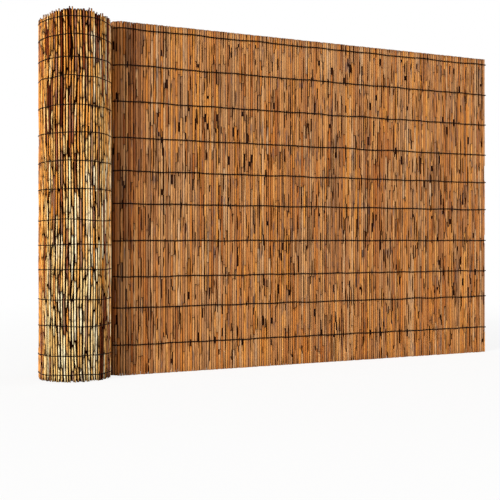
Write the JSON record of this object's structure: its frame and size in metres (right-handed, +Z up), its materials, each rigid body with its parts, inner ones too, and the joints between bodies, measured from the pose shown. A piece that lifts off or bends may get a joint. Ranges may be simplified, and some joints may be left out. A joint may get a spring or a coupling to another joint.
{
  "type": "reed fence",
  "caption": "Reed fence mat standing on its reed ends, part unrolled: an upright roll of reeds at one end and a flat reed panel bound with rows of dark wire.",
  "frame": {"origin": "on the floor, under the middle of the part's box", "axes": "+X along the panel, from the roll to the free end; +Y through the panel, away from its front; +Z up the reeds"},
  "size_m": [1.5205, 0.2122, 1],
  "materials": {
    "reed": "dry peeled reed, satin",
    "weaving_wire": "black annealed wire",
    "tie_wire": "black annealed wire"
  },
  "bodies": {
    "root": {"rolled_reeds": "reed", "bend_reeds": "reed", "panel_reeds": "reed", "weaving_wire_01": "weaving_wire", "weaving_wire_02": "weaving_wire", "weaving_wire_03": "weaving_wire", "weaving_wire_04": "weaving_wire", "weaving_wire_05": "weaving_wire", "weaving_wire_06": "weaving_wire", "weaving_wire_07": "weaving_wire", "weaving_wire_08": "weaving_wire", "weaving_wire_09": "weaving_wire", "weaving_wire_10": "weaving_wire", "tie_wire_1": "tie_wire", "tie_wire_2": "tie_wire", "tie_wire_3": "tie_wire", "tie_wire_4": "tie_wire", "tie_wire_5": "tie_wire"}
  },
  "joints": []
}
